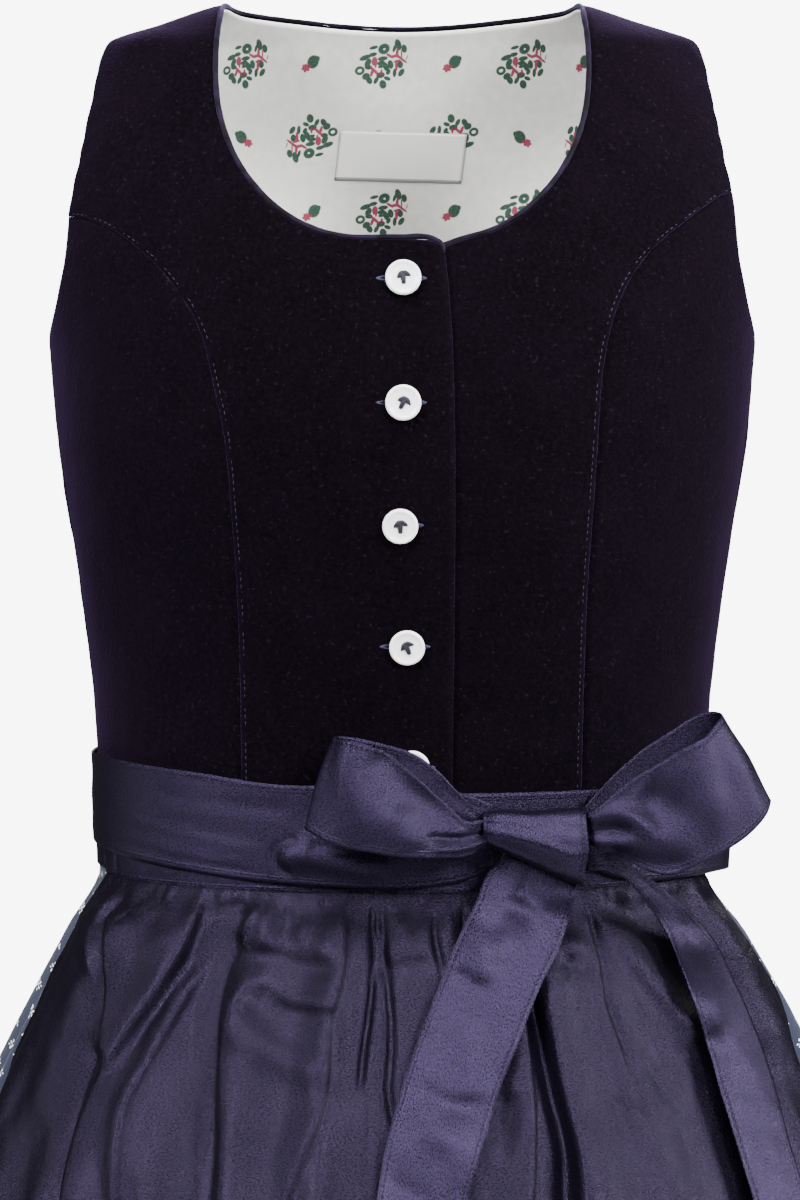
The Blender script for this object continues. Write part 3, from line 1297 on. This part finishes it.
def ribbon_grid(rows, stations, lines, crown, side, pleats=0.0, seed=1, creases=(), front=1.0):
    """A ribbon between two edge lines, each row its upper and lower edge. Pleats run from its
    ends and fade towards its middle; creases lie on its front up to the share named front."""
    rows = np.asarray(rows, float)
    share, across = np.linspace(0, 1, stations), np.linspace(0, 1, lines)
    upper, lower = curve(rows[:, :3])(share), curve(rows[:, 3:])(share)
    way = unit(unit(np.gradient(upper, axis=0)) + unit(np.gradient(lower, axis=0)))
    out = side * unit(np.cross(way, lower - upper))
    grid = upper[None] + (lower - upper)[None] * across[:, None, None]
    swell = crown * np.sin(pi * across)[:, None] * np.sin(pi * share)[None]
    ends = np.exp(-share / 0.1) + np.exp(-(1 - share) / 0.1)
    drawn = np.sin(2 * pi * (2.6 * across[:, None] + 0.25 * np.sin(7 * share)[None])) * ends[None]
    soft = 0.25 * unevenness(grid, 17, seed) + pleats * drawn * np.sin(pi * across)[:, None] ** 0.5
    laid = creased(grid, creases) * (1 - ease(front - 0.06, front, share))[None]
    return grid + out[None] * (swell + soft + laid)[..., None]


loop_right_rows = [
    (33.1, -93, -293, 33.1, -93, -300.4), (30.1, -96, -291.8, 30.1, -96, -301.1),
    (24.2, -98, -292, 24.9, -99, -304.4), (18.3, -100, -286.9, 16.1, -102, -305.1),
    (10.2, -103, -279.5, 6.6, -104.5, -304.8), (2.9, -105, -273.1, -2.2, -106, -304.2),
    (-5.1, -106, -266.7, -11, -107, -302.6), (-14.6, -106, -262.3, -20.8, -106.5, -300.8),
    (-21.9, -103.5, -260.7, -30, -104, -297.8), (-25.1, -99.5, -260.8, -35.5, -99.5, -294.7),
    (-24.2, -95, -260.9, -34.2, -94.5, -296.5), (-18.4, -92.5, -261.6, -26.5, -91.5, -300.6),
    (-8.1, -91.5, -263.9, -15.5, -90.5, -302.9), (3.7, -91, -267.7, -0.7, -90, -304.5),
    (12.5, -90.5, -273.7, 12.5, -89.5, -304.5), (21.3, -90, -283, 23.2, -89, -303.9),
    (30.2, -89, -291.6, 31, -88, -302.5),
]
loop_right_creases = [
    (3.0, 7, 9, [(-24, -258), (-19.5, -276), (-15, -289), (-11, -306)]),
    (-5.0, 8, 8, [(-8, -263), (1, -278), (10, -286.5), (24, -298)]),
    (2.2, 7, 7, [(-2, -285), (4, -303)]),
    (-1.6, 1.6, 1.6, [(32, -296.5), (18, -298.2), (8, -297.2)]),
    (1.2, 1.5, 1.5, [(32, -299), (20, -302), (10, -302)]),
]
loop_left_rows = [
    (65.5, -91, -290.6, 66.2, -91, -300.6), (69.1, -93, -288.9, 69.9, -93, -301.8),
    (74.9, -94, -284.7, 77.2, -94.5, -305), (83.7, -94.5, -277.6, 87.4, -96, -309.6),
    (93.2, -94, -271.8, 97.6, -97, -311.7), (102.8, -92, -266.1, 109.4, -97, -308),
    (111.1, -89, -261.6, 120.5, -94, -302.5), (115.6, -86, -257.5, 128.9, -89, -297.2),
    (118.3, -81, -254.7, 135.1, -83, -290.5), (117.2, -77, -254.2, 136.5, -78, -286.7),
    (113.3, -74, -254.2, 134.2, -73.5, -289.5), (108.5, -73, -255.9, 125.5, -72, -297.1),
    (100, -73, -261.2, 110.6, -72, -301.6), (88.2, -74, -268.9, 95.7, -73.5, -302.9),
    (77.7, -76, -278, 82.6, -76, -302.6), (69.5, -79, -286.5, 72.5, -79, -301.4),
    (65.7, -82, -290.6, 67.6, -82, -300.3),
]
loop_left_creases = [
    (3.0, 7, 6, [(107, -258), (110, -275), (113, -287), (118, -302)]),
    (-4.5, 8, 8, [(88, -280), (98, -287), (105, -291)]),
    (2.8, 4, 3.2, [(68, -293), (78, -289), (87, -292), (94, -302)]),
    (-1.8, 2.6, 2.6, [(70, -295), (85, -296)]),
    (1.6, 3, 3, [(69, -299), (80, -300.5), (91, -299.5)]),
    (-4.0, 3.5, 5, [(74, -306), (90, -309), (108, -307)]),
]


tail_stations, tail_lines = 230, 25
tail_reach, tail_lift, tail_crown = 8, 2.4, 0.9


def tail_grid(rows, seed, creases):
    """A tail from the knot down to its cut end, lying just clear of the apron's folds."""
    flat = ribbon_grid(rows, tail_stations, tail_lines, 0.0, 1, 0.0, seed)
    points = apron_grid[::2, ::2].reshape(-1, 3)
    depth = np.empty(flat.shape[:2])
    for line, places in enumerate(flat):
        away = ((places[:, None, ::2] - points[None, :, ::2]) ** 2).sum(-1)
        depth[line] = np.where(away < tail_reach**2, points[:, 1], 0).min(1)
    for _ in range(30):
        depth[:, 1:-1] = (depth[:, :-2] + 2 * depth[:, 1:-1] + depth[:, 2:]) / 4
        depth[1:-1] = (depth[:-2] + 2 * depth[1:-1] + depth[2:]) / 4
    low = ease(band_bottom, -345, flat[..., 2])
    y = flat[..., 1] * (1 - low) + (depth - tail_lift) * low
    grid = np.stack([flat[..., 0], y, flat[..., 2]], -1)
    across = np.linspace(0, 1, tail_lines)[:, None]
    crown = tail_crown * np.sin(pi * across)
    height = crown + creased(grid, creases) + 0.4 * unevenness(grid, 20, seed)
    return brought_forward(grid, height)


tail_right_rows = [
    (40, -86, -300, 61, -88, -305), (36.1, -88, -307.5, 63.4, -88, -312),
    (31.3, -90, -312.4, 63.7, -91, -320.8), (27.9, -95, -320.4, 61.9, -92, -327.5),
    (22, -101, -331.9, 58.1, -97, -338.3),
    (14.3, -110, -349.3, 51.7, -105, -349.8), (6.2, -119.5, -368.4, 42.7, -117, -370),
    (-0.7, -128, -387.2, 34.9, -127, -388.6), (-5.8, -136, -405.2, 29, -135, -406.5),
    (-9.4, -144, -423.8, 23.4, -144, -425), (-14, -160, -480, 20, -160, -481),
    (-16, -175, -530, 18.5, -175, -531), (-17, -185, -578, 17.5, -187, -592),
]
tail_right_creases = [
    (-2.6, 3, 9, [(40, -318), (50, -324), (60, -336)]),
    (2.0, 8, 5, [(34, -326), (30, -340), (36, -352)]),
    (-1.6, 3, 4, [(20, -346), (27, -352), (34, -352)]),
    (1.6, 7, 7, [(20, -362), (26, -376)]),
    (-1.8, 4, 4, [(6, -386), (18, -392), (33, -391)]),
    (1.4, 5, 5, [(4, -398), (20, -404)]),
    (-0.9, 3, 4, [(-6, -418), (10, -424)]),
    (1.1, 9, 9, [(4, -452), (6, -500), (2, -560)]),
]
tail_left_rows = [
    (67.5, -84, -312.4, 67.5, -84, -303.5), (70, -85, -312.3, 71.4, -85, -302.6),
    (75.8, -85, -312.1, 77.3, -84, -304.7), (81.7, -82, -314.9, 84.7, -81, -310.3),
    (87.6, -78, -321.5, 92.1, -76, -316.2), (94.6, -76, -331, 100.5, -70, -323.9),
    (99.8, -77.6, -339.7, 107.4, -68, -329.9), (103.8, -80, -348.4, 113.4, -67, -337.2),
    (107.3, -84, -359, 119.5, -67, -346.3), (110.5, -87, -368.9, 125.3, -69, -358.7),
    (114.7, -93, -382.9, 130.8, -72, -371.3), (119.3, -98, -398.4, 136.2, -76, -385.7),
    (123.9, -103, -413.2, 140.4, -81, -400.8), (128.4, -108, -428.9, 144.5, -87, -416.3),
    (137, -120, -480, 166, -95, -484), (142, -128, -530, 173, -100, -534),
    (145, -133, -560, 177, -105, -576),
]
tail_left_creases = [
    (-0.8, 2, 2, [(80, -311), (96, -322), (106, -338), (113, -352)]),
    (1.0, 4, 4, [(104, -336), (112, -352), (119, -372)]),
    (-1.2, 4, 4, [(112, -372), (124, -385), (130, -400)]),
    (1.2, 6, 6, [(136, -430), (150, -480), (156, -540)]),
]

bow_pieces = [
    ("bow_loop_right", ribbon_grid(loop_right_rows, 210, 37, 1.2, 1, 0.5, 3, loop_right_creases, 0.5),
     1, (0.15, 0.038), 0.0045),
    ("bow_loop_left", ribbon_grid(loop_left_rows, 210, 37, 1.2, -1, 0.5, 4, loop_left_creases, 0.5),
     -1, (0.15, 0.038), 0.0052),
    ("bow_tail_right", tail_grid(tail_right_rows, 5, tail_right_creases), 1, (0.29, 0.038), 0.0100),
    ("bow_tail_left", tail_grid(tail_left_rows, 6, tail_left_creases), 1, (0.32, 0.036), 0.0082),
]
for name, grid, side, flat, area in bow_pieces:
    ribbon = lay(name + "_ribbon", grid, side, hems=("top", "low"))
    thicken(ribbon, band_wall, satin)
    belongs(ribbon, "satin", name)
    "folded" if "loop" in name else "hung"

# The knot's wrap, from its right edge to its left: distance from the middle, height and
# half-height of its section, half-depth, and how far its front stands out.
knot_section = table(("x", "z", "high", "deep", "front"), [
    (0.0, 29.6, -295.4, 6.0, 5.5, -97.0),
    (0.15, 34.5, -295.8, 7.2, 7.0, -99.5),
    (0.5, 49.0, -298.8, 10.0, 9.0, -101.5),
    (0.8, 61.0, -301.2, 13.2, 9.5, -100.5),
    (1.0, 68.6, -302.6, 14.6, 8.6, -98.5),
])
knot_creases = [
    (0.9, 2.6, 2.6, [(29, -296), (40, -297.6), (52, -300.6), (60, -304), (70, -305)]),
    (-0.8, 3.0, 3.0, [(34, -290.5), (50, -292), (70, -296)]),
    (-0.9, 3.0, 3.0, [(34, -300.6), (48, -306), (62, -310.5)]),
    (0.5, 1.2, 1.2, [(30, -299), (40, -303.5), (50, -308)]),
    (-0.5, 1.0, 1.0, [(30, -293), (40, -293.5), (48, -295.5)]),
]


def knot_grid():
    """The tie wrapped once round the bow, tight on the right and flared on the left."""
    turn, across = np.meshgrid(np.linspace(0, 2 * pi, 121), np.linspace(0, 1, 61))
    at = knot_section(across)
    lean = 2.2 * np.sin(pi * np.clip(np.cos(turn), -1, 1) / 2) * across
    high, deep = powered(np.cos(turn), 0.85), powered(np.sin(turn), 0.75)
    y = at["front"] + at["deep"] * (1 - deep)
    z = at["z"] + at["high"] * high
    grid = np.stack([at["x"] - lean * 0.5 * (high > 0) + lean * 0.9 * (high < 0), y, z], -1)
    return brought_forward(grid, creased(grid, knot_creases) * (deep > 0) * np.abs(deep))


knot = lay("bow_knot_wrap", knot_grid(), side=1, hems=("top", "low"))
thicken(knot, 0.6, satin)
belongs(knot, "satin", "bow_knot")

# ---- Studio ----
# A pale floor far below the hem, two soft lamps in front at the right and the left, and weaker
# ones between them, at both sides, above and behind.

floor_height, floor_radius = -1.07, 1.25
floor = shape_of("floor", lambda shape: bmesh.ops.create_circle(
    shape, cap_ends=True, segments=96, radius=floor_radius,
    matrix=Matrix.Translation((0, 0, floor_height))))
floor_paint, tree = new_material("pale floor")
soft = noise(tree, object_places(tree), 6, 2)
paint = blend_colours(tree, soft, (0.78, 0.78, 0.78, 1), (0.82, 0.82, 0.82, 1))
finish(tree, Base_Color=paint, Roughness=0.8)
floor.data.materials.append(floor_paint)

target = Vector((-0.0008, 0, -0.2192))


def area_light(name, place, wide, high, power):
    light = bpy.data.lights.new(name, "AREA")
    light.shape, light.size, light.size_y, light.energy = "ELLIPSE", wide, high, power
    lamp = bpy.data.objects.new(name, light)
    lamp.location = place
    lamp.rotation_euler = (target - Vector(place)).to_track_quat("-Z", "Y").to_euler()
    bpy.context.scene.collection.objects.link(lamp)


area_light("right", (1.25, -1.65, 0.85), 0.7, 0.8, 92)
area_light("left", (-1.3, -1.6, 0.95), 0.7, 0.8, 84)
area_light("right side", (2.0, -0.15, 0.45), 0.8, 0.8, 78)
area_light("left side", (-2.0, -0.1, 0.6), 0.8, 0.8, 24)
area_light("front", (0.5, -2.3, 0.3), 0.6, 0.6, 13)
area_light("top", (-0.1, -0.8, 1.55), 1.0, 0.8, 62)
area_light("rim", (0.3, 2.0, 0.9), 1.4, 1.4, 26)

world = bpy.data.worlds.new("studio")
bpy.context.scene.world = world
world.use_nodes = True
world.node_tree.nodes.clear()
seen = node(world.node_tree, "ShaderNodeLightPath")
garment_light, backdrop_light = 0.045, 8
strength = garment_light + seen * backdrop_light
background = node(world.node_tree, "ShaderNodeBackground", (),
                  {"Color": (1, 1, 1, 1), "Strength": strength})
node(world.node_tree, "ShaderNodeOutputWorld", (), {0: background})

# The camera stands 2.2 m off, five degrees above level, and frames the top of the garment.
camera = bpy.data.objects.new("camera", bpy.data.cameras.new("camera"))
distance, elevation, picture_height = 2.2, radians(5), 0.459
camera.location = target + Vector((0, -distance * cos(elevation), distance * sin(elevation)))
camera.rotation_euler = (target - camera.location).to_track_quat("-Z", "Y").to_euler()
camera.data.lens = camera.data.sensor_width * distance / picture_height
bpy.context.scene.collection.objects.link(camera)
bpy.context.scene.camera = camera
